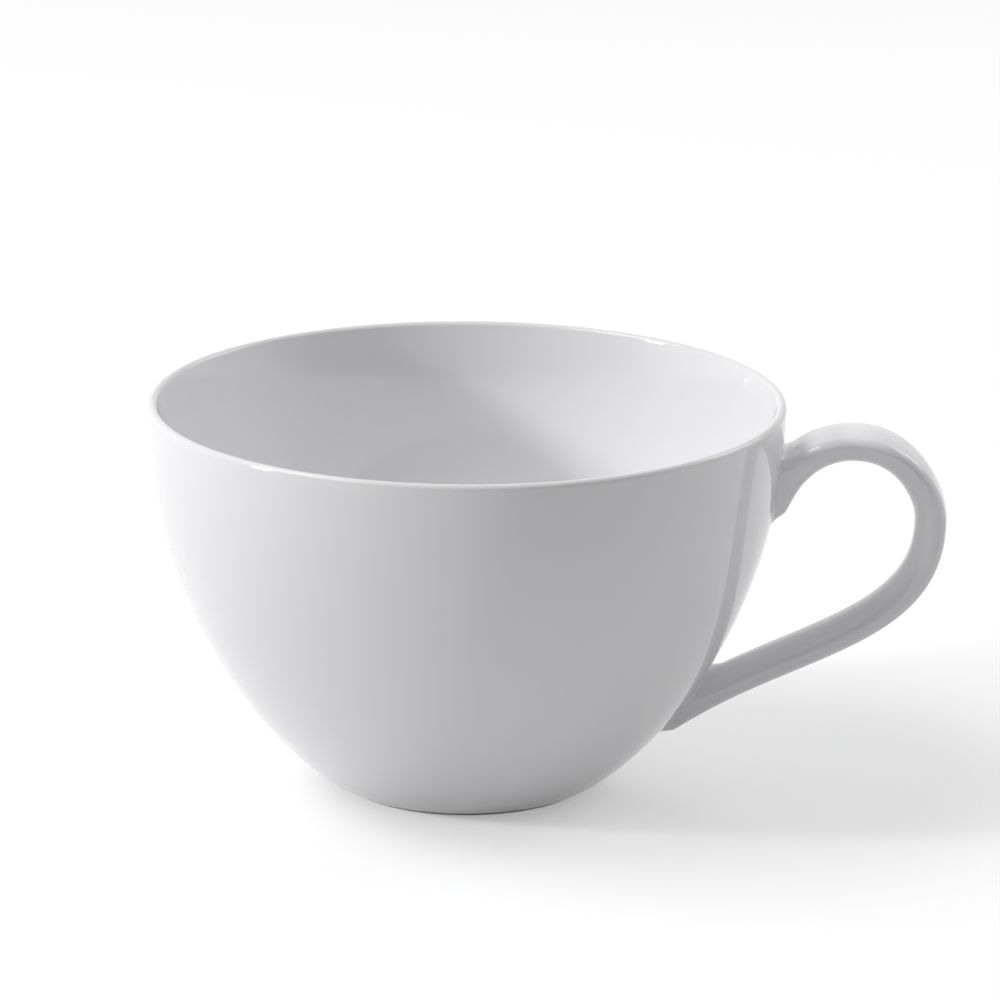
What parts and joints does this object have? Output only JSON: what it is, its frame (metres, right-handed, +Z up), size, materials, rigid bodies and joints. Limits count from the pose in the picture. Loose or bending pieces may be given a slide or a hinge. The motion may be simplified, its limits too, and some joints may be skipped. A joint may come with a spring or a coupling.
{
  "type": "breakfast cup",
  "caption": "Large round porcelain breakfast cup, glazed plain white, with a thin rounded lip, a low foot ring and a looped strap handle.",
  "frame": {"origin": "on the surface that the cup stands on, under the middle of its whole length with the handle", "axes": "+Z up along the bowl's axis, +X towards the handle, Y across the handle's upright plane"},
  "size_m": [0.1455, 0.116, 0.072],
  "materials": {
    "glazed_porcelain": "clear gloss glaze over white porcelain, bare on the foot's standing ring"
  },
  "bodies": {
    "root": {"bowl": "glazed_porcelain", "handle": "glazed_porcelain", "upper_joint": "glazed_porcelain", "lower_joint": "glazed_porcelain"}
  },
  "joints": []
}
